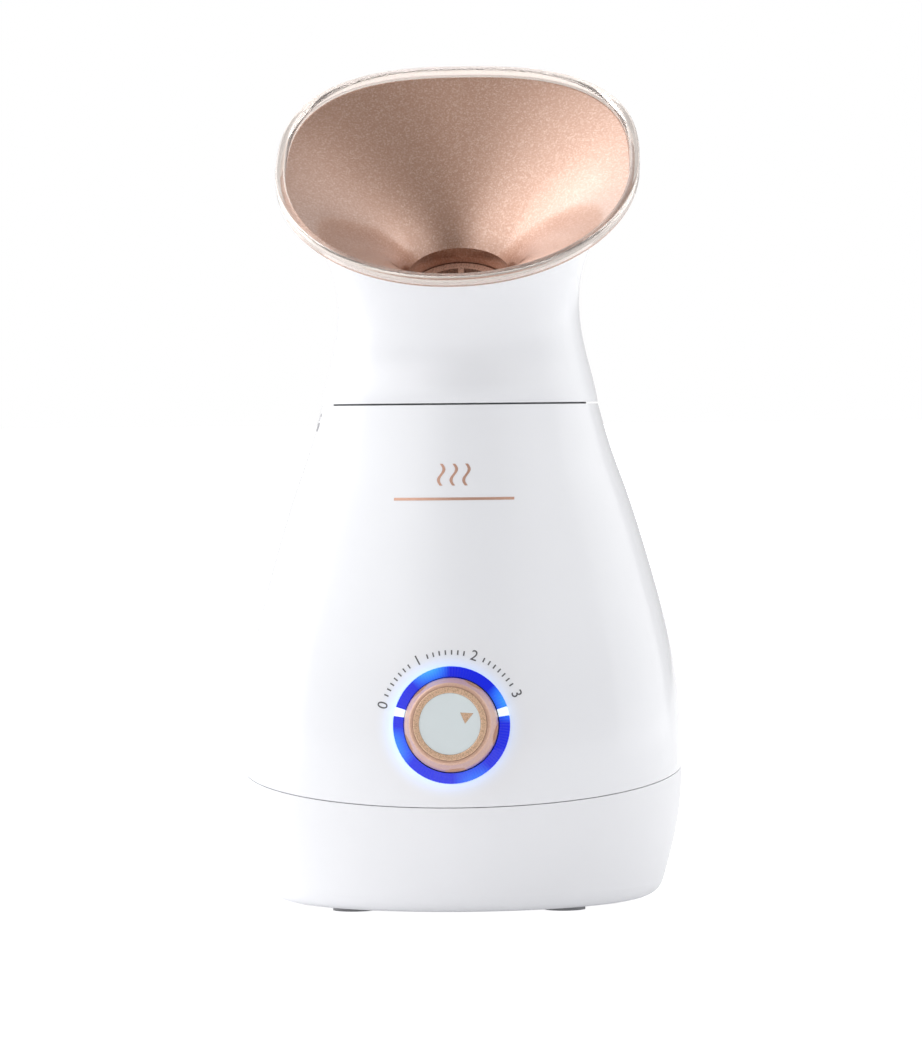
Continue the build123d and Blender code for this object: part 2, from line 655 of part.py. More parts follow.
def knob_trim():
    ring = tube(DIAL_RADIUS + 0.05, TRIM_RADIUS, KNOB_HEIGHT - 1.0, KNOB_HEIGHT + 0.7)
    return KNOB.location * fillet(ring.edges().group_by(Axis.Z)[-1], 0.35)


def pointer_shape(grow, low, high):
    # A triangle whose point is towards the rim of the dial
    tip, back, half = 8.5 + grow, 4.6 - grow, 2.0 + grow
    face = make_face(Polyline((tip, 0), (back, half), (back, -half), close=True))
    return Pos(0, 0, low) * extrude(Rot(0, 0, POINTER_ANGLE) * face, high - low)


def knob_dial():
    dial = disc(DIAL_RADIUS, KNOB_HEIGHT - 1.0, KNOB_HEIGHT + 0.35)
    return KNOB.location * (dial - pointer_shape(0.03, KNOB_HEIGHT - 0.2, KNOB_HEIGHT + 1))


def knob_pointer():
    return KNOB.location * pointer_shape(0, KNOB_HEIGHT - 0.2, KNOB_HEIGHT + 0.4)


def switch_shaft():
    return KNOB.location * disc(SHAFT_RADIUS, BRACKET_LOW - 12, 3.4)


def switch_body():
    case = block(SWITCH_SIZE, SWITCH_SIZE, BRACKET_LOW - 14, BRACKET_LOW)
    case = fillet(case.edges().filter_by(Axis.Z), 2) + disc(4.5, BRACKET_LOW, -7)
    tags = [block(4.8, 0.8, BRACKET_LOW - 19, BRACKET_LOW - 13, x, -7) for x in (-8, 0, 8)]
    case = union([case] + tags)
    return KNOB.location * (case - disc(SHAFT_RADIUS + SHAFT_PLAY, BRACKET_LOW - 12.5, 0))


def switch_nut():
    nut = extrude(Pos(0, 0, BRACKET_LOW + 1.65) * RegularPolygon(8, 6), 2.2)
    return KNOB.location * (nut - disc(4.55, BRACKET_LOW, 0))


def switch_bracket():
    plate = block(62, 16, BRACKET_LOW, BRACKET_LOW + 1.6) + disc(14, BRACKET_LOW, BRACKET_LOW + 1.6)
    plate = plate - disc(4.6, BRACKET_LOW - 1, 0)
    for x in (-27, 27):
        plate = plate - disc(1.5, BRACKET_LOW - 1, 0, x)
    return KNOB.location * plate


def bracket_screws():
    return KNOB.location * union([screw(BRACKET_LOW, 5, 1.05, x, head=2.4) for x in (-27, 27)])


NODES = [
    base_shell, body_shell, feet, housing_screws, cord_gland, gland_nut,
    tank, tank_floor, tank_seal, tank_collar, tank_screws, plate_seal, heating_plate, heater_element,
    plate_clamp, clamp_screws, thermostat, thermal_fuse,
    control_board, board_screws, relay, capacitors, terminal_block,
    towel_tray,
    head_shell, funnel_cone, clear_rim, coupling_ring, head_screws, head_seal,
    steam_duct, aroma_basket, aroma_pad,
    light_ring, led_board, knob, knob_trim, knob_dial, knob_pointer,
    switch_shaft, switch_body, switch_nut, switch_bracket, bracket_screws,
]

os.makedirs("parts", exist_ok=True)
for make in NODES:
    export_step(make(), f"parts/{make.__name__}.step")
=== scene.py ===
"""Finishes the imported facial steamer: materials, printed marks, soft parts and a white studio."""

import json
import math

import bpy
from mathutils import Matrix, Vector


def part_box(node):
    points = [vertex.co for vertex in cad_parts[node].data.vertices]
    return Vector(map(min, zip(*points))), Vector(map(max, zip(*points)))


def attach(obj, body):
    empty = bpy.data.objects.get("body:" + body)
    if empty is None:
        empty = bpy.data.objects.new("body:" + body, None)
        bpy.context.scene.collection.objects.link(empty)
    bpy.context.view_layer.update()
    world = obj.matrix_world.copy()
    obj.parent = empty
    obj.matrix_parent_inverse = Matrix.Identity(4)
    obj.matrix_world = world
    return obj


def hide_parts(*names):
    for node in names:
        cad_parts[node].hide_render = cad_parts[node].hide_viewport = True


bl_info = {
    "name": "Facial Steamer",
    "version": (1, 0, 0),
    "blender": (4, 5, 0),
    "location": "3D View > Sidebar > Steamer",
    "description": "Gives the facial steamer its finishes, printed marks, soft parts and a white studio",
    "category": "Object",
}

MM = 0.001

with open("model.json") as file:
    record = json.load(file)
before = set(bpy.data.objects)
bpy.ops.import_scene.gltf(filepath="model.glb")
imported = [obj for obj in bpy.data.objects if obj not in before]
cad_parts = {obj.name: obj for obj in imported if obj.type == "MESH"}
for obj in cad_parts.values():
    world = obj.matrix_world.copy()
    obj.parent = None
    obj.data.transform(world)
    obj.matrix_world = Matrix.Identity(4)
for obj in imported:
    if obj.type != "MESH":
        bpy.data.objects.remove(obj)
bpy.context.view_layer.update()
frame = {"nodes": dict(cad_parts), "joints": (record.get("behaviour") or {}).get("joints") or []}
KNOB_JOINT = next(joint for joint in frame["joints"] if joint["name"] == "knob_turn")
KNOB_CENTRE = Vector(KNOB_JOINT["pos_m"])
KNOB_AXIS = Vector(KNOB_JOINT["axis"]).normalized()
NECK_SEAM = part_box("body_shell")[1].z


# Selecting and finishing meshes

def select_only(*pieces):
    if bpy.context.object and bpy.context.object.mode != "OBJECT":
        bpy.ops.object.mode_set(mode="OBJECT")
    bpy.ops.object.select_all(action="DESELECT")
    for piece in pieces:
        piece.select_set(True)
    bpy.context.view_layer.objects.active = pieces[-1]


def apply_place(piece):
    select_only(piece)
    bpy.ops.object.transform_apply(location=True, rotation=True, scale=True)


def apply_modifier(piece, kind, **settings):
    # Adds a modifier with these settings and applies it at once
    modifier = piece.modifiers.new(kind.title(), kind)
    for name, value in settings.items():
        setattr(modifier, name, value)
    select_only(piece)
    bpy.ops.object.modifier_apply(modifier=modifier.name)


def join(pieces, name):
    select_only(*pieces)
    if len(pieces) > 1:
        bpy.ops.object.join()
    joined = bpy.context.object
    joined.name = name
    return joined


def finish(piece, material, body):
    piece.data.materials.clear()
    piece.data.materials.append(material)
    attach(piece, body)


def dress(node, material):
    # A CAD node keeps its shape and takes this material
    mesh = frame["nodes"][node].data
    mesh.materials.clear()
    mesh.materials.append(material)


# Node groups that several materials share

def new_group(name, inputs, outputs):
    group = bpy.data.node_groups.new(name, "ShaderNodeTree")
    for label, kind, default in inputs:
        socket = group.interface.new_socket(label, in_out="INPUT", socket_type=f"NodeSocket{kind}")
        socket.default_value = default
    for label, kind in outputs:
        group.interface.new_socket(label, in_out="OUTPUT", socket_type=f"NodeSocket{kind}")
    source = group.nodes.new("NodeGroupInput")
    sink = group.nodes.new("NodeGroupOutput")
    return group, source.outputs, sink.inputs


def wire(tree, kind, inputs=None, **settings):
    # Adds a node, sets its properties, and links or fills its inputs
    node = tree.nodes.new(f"ShaderNode{kind}")
    for name, value in settings.items():
        setattr(node, name, value)
    for key, value in (inputs or {}).items():
        if isinstance(value, bpy.types.NodeSocket):
            tree.links.new(value, node.inputs[key])
        else:
            node.inputs[key].default_value = value
    return node


def number(tree, operation, *values):
    # One step of arithmetic, whose operands are sockets or numbers
    node = wire(tree, "Math", dict(enumerate(values)), operation=operation)
    return node.outputs[0]


def blend_colour(tree, factor, first, second, blend_type="MIX"):
    node = wire(tree, "Mix", {0: factor, 6: first, 7: second}, data_type="RGBA", blend_type=blend_type)
    return node.outputs[2]


def moulding_group():
    """Plastic and rubber from a mould: faint unevenness in colour and gloss, and a fine skin."""
    group, given, made = new_group(
        "moulded_skin",
        [
            ("Color", "Color", (0.8, 0.8, 0.8, 1)),
            ("Unevenness", "Float", 0.04),
            ("Roughness", "Float", 0.3),
            ("Gloss Spread", "Float", 0.06),
            ("Grain Scale", "Float", 900),
            ("Grain Depth", "Float", 0.05),
        ],
        [("Color", "Color"), ("Roughness", "Float"), ("Normal", "Vector")],
    )
    place = wire(group, "TexCoord").outputs["Object"]
    cloud = wire(group, "TexNoise", {"Vector": place, "Scale": 38, "Detail": 3}).outputs["Fac"]
    grain_inputs = {"Vector": place, "Scale": given["Grain Scale"], "Detail": 2}
    grain = wire(group, "TexNoise", grain_inputs).outputs["Fac"]
    dark = number(group, "SUBTRACT", 1, number(group, "MULTIPLY", given["Unevenness"], cloud))
    shade = wire(group, "CombineColor", {0: dark, 1: dark, 2: dark}).outputs[0]
    colour = blend_colour(group, 1.0, given["Color"], shade, "MULTIPLY")
    swing = number(group, "MULTIPLY", given["Gloss Spread"], number(group, "SUBTRACT", cloud, 0.5))
    gloss = number(group, "ADD", given["Roughness"], swing)
    bump = wire(group, "Bump", {"Strength": given["Grain Depth"], "Distance": 0.0002, "Height": grain})
    group.links.new(colour, made["Color"])
    group.links.new(gloss, made["Roughness"])
    group.links.new(bump.outputs[0], made["Normal"])
    return group


def pearl_group():
    """Metallic paint: fine flakes that catch the light each at its own angle."""
    group, given, made = new_group(
        "pearl_flakes",
        [
            ("Color", "Color", (0.6, 0.4, 0.33, 1)),
            ("Glint", "Color", (1, 0.85, 0.76, 1)),
            ("Flake Scale", "Float", 2600),
            ("Glint Amount", "Float", 0.3),
            ("Roughness", "Float", 0.35),
            ("Relief", "Float", 0.1),
        ],
        [("Color", "Color"), ("Roughness", "Float"), ("Normal", "Vector")],
    )
    place = wire(group, "TexCoord").outputs["Object"]
    cells = wire(group, "TexVoronoi", {"Vector": place, "Scale": given["Flake Scale"], "Randomness": 1})
    grey = wire(group, "SeparateColor", {0: cells.outputs["Color"]})
    bright = number(group, "POWER", grey.outputs[0], 3)
    glint = number(group, "MULTIPLY", bright, given["Glint Amount"])
    colour = blend_colour(group, glint, given["Color"], given["Glint"])
    swing = number(group, "MULTIPLY", number(group, "SUBTRACT", grey.outputs[1], 0.5), 0.12)
    bump = wire(group, "Bump", {"Strength": given["Relief"], "Distance": 0.0002, "Height": grey.outputs[2]})
    group.links.new(colour, made["Color"])
    group.links.new(number(group, "ADD", given["Roughness"], swing), made["Roughness"])
    group.links.new(bump.outputs[0], made["Normal"])
    return group


def brushed_group():
    """Drawn or turned metal: fine lines along one direction."""
    group, given, made = new_group(
        "brushed_lines",
        [
            ("Color", "Color", (0.6, 0.6, 0.6, 1)),
            ("Stretch", "Vector", (40, 900, 900)),
            ("Roughness", "Float", 0.3),
            ("Line Depth", "Float", 0.1),
        ],
        [("Color", "Color"), ("Roughness", "Float"), ("Normal", "Vector")],
    )
    place = wire(group, "TexCoord").outputs["Object"]
    drawn = wire(group, "VectorMath", {0: place, 1: given["Stretch"]}, operation="MULTIPLY").outputs[0]
    lines = wire(group, "TexNoise", {"Vector": drawn, "Scale": 1, "Detail": 4}).outputs["Fac"]
    dark = number(group, "ADD", 0.85, number(group, "MULTIPLY", lines, 0.3))
    shade = wire(group, "CombineColor", {0: dark, 1: dark, 2: dark}).outputs[0]
    swing = number(group, "MULTIPLY", number(group, "SUBTRACT", lines, 0.5), 0.25)
    bump = wire(group, "Bump", {"Strength": given["Line Depth"], "Distance": 0.0001, "Height": lines})
    group.links.new(blend_colour(group, 1.0, given["Color"], shade, "MULTIPLY"), made["Color"])
    group.links.new(number(group, "ADD", given["Roughness"], swing), made["Roughness"])
    group.links.new(bump.outputs[0], made["Normal"])
    return group


GROUPS = {}


def group_named(name, build):
    if name not in GROUPS:
        GROUPS[name] = build()
    return GROUPS[name]


def surfaced(name, group, inputs, **sockets):
    """A material whose colour, gloss and relief come from a group, and whose constants sit on its shader."""
    material = bpy.data.materials.new(name)
    material.use_nodes = True
    tree = material.node_tree
    shader = tree.nodes["Principled BSDF"]
    skin = tree.nodes.new("ShaderNodeGroup")
    skin.node_tree = group
    for key, value in inputs.items():
        skin.inputs[key].default_value = value
    tree.links.new(skin.outputs["Color"], shader.inputs["Base Color"])
    tree.links.new(skin.outputs["Roughness"], shader.inputs["Roughness"])
    tree.links.new(skin.outputs["Normal"], shader.inputs["Normal"])
    for key, value in sockets.items():
        shader.inputs[key.replace("_", " ")].default_value = value
    return material


def opaque(colour):
    return (*colour[:3], 1)


def moulded(name, colour, roughness, unevenness=0.04, grain_scale=900, grain_depth=0.05, spread=0.06,
            **sockets):
    inputs = {
        "Color": opaque(colour), "Roughness": roughness, "Unevenness": unevenness,
        "Grain Scale": grain_scale, "Grain Depth": grain_depth, "Gloss Spread": spread,
    }
    return surfaced(name, group_named("moulded", moulding_group), inputs, **sockets)


def pearly(name, colour, glint, amount, roughness, relief=0.1, scale=2600, **sockets):
    inputs = {
        "Color": opaque(colour), "Glint": opaque(glint), "Glint Amount": amount,
        "Roughness": roughness, "Relief": relief, "Flake Scale": scale,
    }
    return surfaced(name, group_named("pearl", pearl_group), inputs, **sockets)


def brushed(name, colour, roughness, stretch, depth=0.1, **sockets):
    inputs = {"Color": opaque(colour), "Roughness": roughness, "Stretch": stretch, "Line Depth": depth}
    return surfaced(name, group_named("brushed", brushed_group), inputs, Metallic=1.0, **sockets)


# Settings

class CasingSettings(bpy.types.PropertyGroup):
    gloss_white: bpy.props.FloatVectorProperty(
        name="Gloss white", description="Colour of the glossy body and head", size=3, subtype="COLOR",
        default=(0.862, 0.87, 0.902), min=0, max=1,
    )
    satin_white: bpy.props.FloatVectorProperty(
        name="Satin white", description="Colour of the satin base", size=3, subtype="COLOR",
        default=(0.87, 0.876, 0.905), min=0, max=1,
    )
    gloss: bpy.props.FloatProperty(
        name="Body roughness", description="How blurred reflections in the body are", default=0.16,
        min=0, max=1, subtype="FACTOR",
    )
    halo_colour: bpy.props.FloatVectorProperty(
        name="Halo", description="Light that the ring throws on the casing around it",
        size=3, subtype="COLOR", default=(0.10, 0.42, 1.0), min=0, max=1,
    )
    halo_width: bpy.props.FloatProperty(
        name="Halo width", description="How far the ring's light reaches on the casing", default=3.4 * MM,
        min=0, subtype="DISTANCE", unit="LENGTH",
    )


class FunnelSettings(bpy.types.PropertyGroup):
    rose_gold: bpy.props.FloatVectorProperty(
        name="Rose gold", description="Metallic paint inside the funnel", size=3, subtype="COLOR",
        default=(0.50, 0.28, 0.195), min=0, max=1,
    )
    glint: bpy.props.FloatVectorProperty(
        name="Glint", description="Colour of the paint's brightest flakes", size=3, subtype="COLOR",
        default=(0.95, 0.74, 0.62), min=0, max=1,
    )
    rim_tint: bpy.props.FloatVectorProperty(
        name="Rim tint", description="Colour of the clear lip", size=3, subtype="COLOR",
        default=(0.98, 0.89, 0.83), min=0, max=1,
    )
    rim_centre: bpy.props.FloatVectorProperty(
        name="Rim centre", description="Middle of the lip's upper plane", size=3, subtype="TRANSLATION",
        unit="LENGTH", default=(0, -2 * MM, 253 * MM),
    )
    rim_tilt: bpy.props.FloatProperty(
        name="Rim tilt", description="How far the lip leans towards the user", default=math.radians(37),
        subtype="ANGLE", unit="ROTATION",
    )
    rim_side: bpy.props.FloatProperty(
        name="Rim side", description="Half width of the lip", default=62.3 * MM,
        subtype="DISTANCE", unit="LENGTH",
    )
    rim_front: bpy.props.FloatProperty(
        name="Rim front", description="From the lip's middle to its front", default=68.1 * MM,
        subtype="DISTANCE", unit="LENGTH",
    )
    rim_back: bpy.props.FloatProperty(
        name="Rim back", description="From the lip's middle to its back", default=59.4 * MM,
        subtype="DISTANCE", unit="LENGTH",
    )


class KnobSettings(bpy.types.PropertyGroup):
    rose_plastic: bpy.props.FloatVectorProperty(
        name="Knob", description="Rose gold of the knob's grip", size=3, subtype="COLOR",
        default=(0.66, 0.41, 0.305), min=0, max=1,
    )
    trim: bpy.props.FloatVectorProperty(
        name="Trim", description="Champagne of the ring round the dial", size=3, subtype="COLOR",
        default=(0.68, 0.44, 0.29), min=0, max=1,
    )
    dial: bpy.props.FloatVectorProperty(
        name="Dial", description="Pale grey of the dial", size=3, subtype="COLOR",
        default=(0.71, 0.77, 0.785), min=0, max=1,
    )
    ring_deep: bpy.props.FloatVectorProperty(
        name="Ring, deep", description="Colour of the light ring between its lamps", size=3, subtype="COLOR",
        default=(0.0, 0.008, 0.52), min=0, max=1,
    )
    ring_bright: bpy.props.FloatVectorProperty(
        name="Ring, bright", description="Colour of the light ring over its lamps", size=3, subtype="COLOR",
        default=(0.03, 0.28, 1.0), min=0, max=1,
    )


class MarkSettings(bpy.types.PropertyGroup):
    ink: bpy.props.FloatVectorProperty(
        name="Ink", description="Grey of the printed numerals", size=3, subtype="COLOR",
        default=(0.12, 0.12, 0.13), min=0, max=1,
    )
    foil: bpy.props.FloatVectorProperty(
        name="Foil", description="Rose gold of the mark on the front", size=3, subtype="COLOR",
        default=(0.62, 0.36, 0.27), min=0, max=1,
    )
    numeral_height: bpy.props.FloatProperty(
        name="Numeral height", description="Height of the knob's numerals", default=3.4 * MM, min=0,
        subtype="DISTANCE", unit="LENGTH",
    )
    scale_radius: bpy.props.FloatProperty(
        name="Scale radius", description="From the knob's centre to the printed scale",
        default=23.4 * MM, min=0,
        subtype="DISTANCE", unit="LENGTH",
    )


class StageSettings(bpy.types.PropertyGroup):
    distance: bpy.props.FloatProperty(
        name="Camera distance", description="From the steamer's axis to the camera", default=1.8, min=0.2,
        subtype="DISTANCE", unit="LENGTH",
    )
    eye_height: bpy.props.FloatProperty(
        name="Eye height", description="Height of the camera above the floor", default=0.17, min=0,
        subtype="DISTANCE", unit="LENGTH",
    )
    azimuth: bpy.props.FloatProperty(
        name="Azimuth", description="How far the camera stands to the steamer's right",
        default=math.radians(3.0), subtype="ANGLE", unit="ROTATION",
    )
    pitch: bpy.props.FloatProperty(
        name="Pitch", description="How far the camera looks down", default=math.radians(1.31),
        subtype="ANGLE", unit="ROTATION",
    )
    roll: bpy.props.FloatProperty(
        name="Roll", description="How far the camera leans", default=math.radians(0.55),
        subtype="ANGLE", unit="ROTATION",
    )
    lens: bpy.props.FloatProperty(
        name="Lens", description="Focal length on a 36 mm sensor", default=180.5, min=10, unit="CAMERA",
    )


SETTINGS = {
    "steamer_casing": CasingSettings,
    "steamer_funnel": FunnelSettings,
    "steamer_knob": KnobSettings,
    "steamer_marks": MarkSettings,
    "steamer_stage": StageSettings,
}


# Materials of the single pieces

def knob_radius_from(tree):
    # Distance from the knob's axis, for patterns that run round it
    place = wire(tree, "TexCoord").outputs["Object"]
    out = wire(tree, "VectorMath", {0: place, 1: KNOB_CENTRE}, operation="SUBTRACT").outputs[0]
    along = wire(tree, "VectorMath", {0: out, 1: KNOB_AXIS}, operation="DOT_PRODUCT").outputs["Value"]
    axial = wire(tree, "VectorMath", {0: KNOB_AXIS, "Scale": along}, operation="SCALE").outputs[0]
    flat = wire(tree, "VectorMath", {0: out, 1: axial}, operation="SUBTRACT").outputs[0]
    return flat, wire(tree, "VectorMath", {0: flat}, operation="LENGTH").outputs["Value"]


def lit_casing(settings):
    # The body's gloss white, with the ring's light lying on it as a soft halo
    material = moulded("white_gloss_body", settings.gloss_white, settings.gloss, 0.02, 1400, 0.012, 0.03,
                       Coat_Weight=0.35, Coat_Roughness=0.03)
    tree = material.node_tree
    shader = tree.nodes["Principled BSDF"]
    flat, radius = knob_radius_from(tree)
    ring_edge = 18.6 * MM
    fade = wire(tree, "MapRange", {
        "Value": radius, "From Min": ring_edge, "From Max": ring_edge + settings.halo_width * 2.4,
        "To Min": 1, "To Max": 0,
    }).outputs[0]
    soft = number(tree, "POWER", fade, 3)
    side = wire(tree, "SeparateXYZ", {0: flat}).outputs["X"]
    lean = wire(tree, "MapRange", {
        "Value": side, "From Min": -20 * MM, "From Max": 20 * MM, "To Min": 1, "To Max": 0.35,
    }).outputs[0]
    front = wire(tree, "SeparateXYZ", {0: wire(tree, "TexCoord").outputs["Object"]}).outputs["Y"]
    faces_user = number(tree, "LESS_THAN", front, 0)
    mask = number(tree, "MULTIPLY", number(tree, "MULTIPLY", soft, lean), faces_user)
    glow = blend_colour(tree, mask, (0, 0, 0, 1), opaque(settings.halo_colour))
    tree.links.new(glow, shader.inputs["Emission Color"])
    shader.inputs["Emission Strength"].default_value = 0.9
    return material


def lit_ring(settings):
    # Deep blue between the lamps and brighter over them, with fine radial ribs, and with a painted
    # reflection of the studio panels as a pale patch on each side, a little above the middle
    material = bpy.data.materials.new("lit_blue_ring")
    material.use_nodes = True
    tree = material.node_tree
    shader = tree.nodes["Principled BSDF"]
    flat, radius = knob_radius_from(tree)
    parts = wire(tree, "SeparateXYZ", {0: flat}).outputs
    angle = number(tree, "ARCTAN2", parts["Z"], parts["X"])
    lamps = number(tree, "COSINE", number(tree, "MULTIPLY", number(tree, "SUBTRACT", angle, 0.39), 4))
    over = wire(tree, "MapRange", {
        "Value": lamps, "From Min": 0.1, "From Max": 1, "To Min": 0, "To Max": 1,
    }).outputs[0]
    height = wire(tree, "MapRange", {
        "Value": parts["Z"], "From Min": -19 * MM, "From Max": 19 * MM, "To Min": 0.35, "To Max": 1,
    }).outputs[0]
    band = wire(tree, "MapRange", {
        "Value": radius, "From Min": 15.9 * MM, "From Max": 19.2 * MM, "To Min": 0.35, "To Max": 1,
    }).outputs[0]
    lamp = number(tree, "MULTIPLY", number(tree, "MULTIPLY", over, height), band)
    colour = blend_colour(tree, lamp, opaque(settings.ring_deep), opaque(settings.ring_bright))
    # Painted reflection of the side panels: a pale band on each side, a little above the middle, mixed into
    # the colour and so into the glow as well
    sine = number(tree, "DIVIDE", parts["Z"], radius)
    glint = number(tree, "MULTIPLY", number(tree, "COMPARE", sine, 0.24, 0.075), 0.85)
    colour = blend_colour(tree, glint, colour, (0.80, 0.92, 1, 1))
    ribs = number(tree, "SINE", number(tree, "MULTIPLY", angle, 120))
    bump = wire(tree, "Bump", {"Strength": 0.15, "Distance": 0.0002, "Height": ribs})
    tree.links.new(colour, shader.inputs["Base Color"])
    tree.links.new(colour, shader.inputs["Emission Color"])
    tree.links.new(bump.outputs[0], shader.inputs["Normal"])
    shader.inputs["Emission Strength"].default_value = 0.68
    shader.inputs["Roughness"].default_value = 0.12
    shader.inputs["Coat Weight"].default_value = 0.6
    return material


def clear_lip(settings):
    material = moulded("clear_lip", settings.rim_tint, 0.05, 0.0, 700, 0.0, 0.0,
                       Transmission_Weight=0.92, IOR=1.49, Coat_Weight=0.3, Coat_Roughness=0.02)
    return material


# Operators

class STEAMER_OT_casing(bpy.types.Operator):
    """Finish the base, the body, the head's shell, the feet and the cord gland"""
    bl_idname = "steamer.casing"
    bl_label = "Casing"

    def execute(self, context):
        settings = context.scene.steamer_casing
        white = moulded("white_gloss_head", settings.gloss_white, 0.24, 0.02, 1400, 0.02, 0.03,
                        Coat_Weight=0.2, Coat_Roughness=0.08)
        satin = moulded("white_satin_base", settings.satin_white, 0.33, 0.03, 1600, 0.05)
        dress("body_shell", lit_casing(settings))
        dress("head_shell", white)
        dress("base_shell", satin)
        dress("feet", moulded("foot_rubber", (0.50, 0.50, 0.52), 0.62, 0.12, 1200, 0.3))
        nylon = moulded("black_nylon", (0.02, 0.02, 0.022), 0.45, 0.2, 1300, 0.2)
        dress("cord_gland", nylon)
        dress("gland_nut", nylon)
        return {"FINISHED"}


class STEAMER_OT_funnel(bpy.types.Operator):
    """Finish the rose gold funnel"""
    bl_idname = "steamer.funnel"
    bl_label = "Funnel and lip"

    def execute(self, context):
        settings = context.scene.steamer_funnel
        paint = pearly("rose_gold_paint", settings.rose_gold, settings.glint, 0.42, 0.38, 0.08, 2600,
                       Metallic=0.85, Coat_Weight=1.0, Coat_IOR=1.7, Coat_Roughness=0.10)
        dress("funnel_cone", paint)
        return {"FINISHED"}


# The outline's superellipse power halfway round, how much it gains at the back and loses at the
# front, and how fast it goes over from one to the other
RIM_FULLNESS = 2.325
FULLNESS_SWING = 0.275
FULLNESS_BLEND = 0.15


class STEAMER_OT_lip(bpy.types.Operator):
    """Sweep the clear lip's rounded section round the funnel's rim"""
    bl_idname = "steamer.lip"
    bl_label = "Clear lip"

    def execute(self, context):
        settings = context.scene.steamer_funnel
        section = self.section()
        bpy.ops.object.select_all(action="DESELECT")
        bpy.ops.mesh.primitive_circle_add(vertices=240, radius=1)
        lip = bpy.context.object
        lip.name = "glossy_clear_lip"
        for vertex in lip.data.vertices:
            turn = math.atan2(vertex.co.y, vertex.co.x)
            vertex.co = Vector((math.cos(turn), math.sin(turn), 0)) * self.reach(settings, turn)
        bpy.ops.object.convert(target="CURVE")
        lip.data.dimensions = "3D"
        lip.data.twist_mode = "Z_UP"
        lip.data.bevel_mode = "OBJECT"
        lip.data.bevel_object = section
        bpy.ops.object.convert(target="MESH")
        bpy.data.objects.remove(section)
        tilt = Matrix.Rotation(settings.rim_tilt, 4, "X")
        lip.matrix_world = Matrix.Translation(settings.rim_centre) @ tilt
        apply_place(lip)
        bpy.ops.object.mode_set(mode="EDIT")
        bpy.ops.mesh.select_all(action="SELECT")
        bpy.ops.mesh.remove_doubles(threshold=0.01 * MM)
        bpy.ops.mesh.normals_make_consistent(inside=False)
        bpy.ops.object.mode_set(mode="OBJECT")
        bpy.ops.object.shade_smooth_by_angle(angle=math.radians(40))
        finish(lip, clear_lip(settings), "head")
        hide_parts("clear_rim")
        return {"FINISHED"}

    def reach(self, settings, turn):
        # From the middle to the outline, which is fuller at the back than at the front
        swing = math.sin(turn) / math.hypot(math.sin(turn), FULLNESS_BLEND)
        power = RIM_FULLNESS + FULLNESS_SWING * swing
        length = settings.rim_back if turn > 0 else settings.rim_front
        across = (abs(math.cos(turn)) / settings.rim_side) ** power
        along = (abs(math.sin(turn)) / length) ** power
        return (across + along) ** (-1 / power)

    def section(self):
        # Inward from the outline and up from the lip's plane, in millimetres: a round shoulder,
        # a slope into the bowl, and a skirt round the funnel's flange
        shoulder = [(1.1 - 1.1 * math.cos(a), -1.1 + 1.1 * math.sin(a)) for a in self.steps(0, 90, 8)]
        crest = [(1.5 + 2.1 * math.sin(a), -2.1 + 2.1 * math.cos(a)) for a in self.steps(10, 80, 9)]
        foot = [(3.58, -2.1), (3.58, -2.84), (1.42, -2.84), (1.42, -3.98), (0.02, -3.98)]
        bpy.ops.object.select_all(action="DESELECT")
        bpy.ops.curve.primitive_bezier_curve_add()
        section = bpy.context.object
        section.data.dimensions = "2D"
        section.data.splines.clear()
        spline = section.data.splines.new("POLY")
        points = shoulder + crest + foot
        spline.points.add(len(points) - 1)
        for point, (inward, up) in zip(spline.points, points):
            point.co = (inward * MM, up * MM, 0, 1)
        spline.use_cyclic_u = True
        return section

    def steps(self, first, last, count):
        return [math.radians(first + (last - first) * k / (count - 1)) for k in range(count)]


class STEAMER_OT_knob(bpy.types.Operator):
    """Finish the knob, its trim, dial and pointer, and the lit ring round it"""
    bl_idname = "steamer.knob"
    bl_label = "Knob and light ring"

    def execute(self, context):
        settings = context.scene.steamer_knob
        dress("knob", pearly("rose_knob", settings.rose_plastic, (0.95, 0.78, 0.68), 0.2, 0.34, 0.04, 3200,
                             Metallic=0.25, Coat_Weight=0.3, Coat_Roughness=0.2))
        trim = pearly("rose_trim", settings.trim, (0.95, 0.8, 0.66), 0.15, 0.3, 0.03, 3200,
                      Metallic=0.3, Coat_Weight=0.3, Coat_Roughness=0.15)
        dress("knob_trim", trim)
        dress("knob_pointer", trim)
        dress("knob_dial", moulded("dial_grey", settings.dial, 0.28, 0.02, 1500, 0.02,
                                   Coat_Weight=0.4, Coat_Roughness=0.1))
        dress("light_ring", lit_ring(settings))
        return {"FINISHED"}


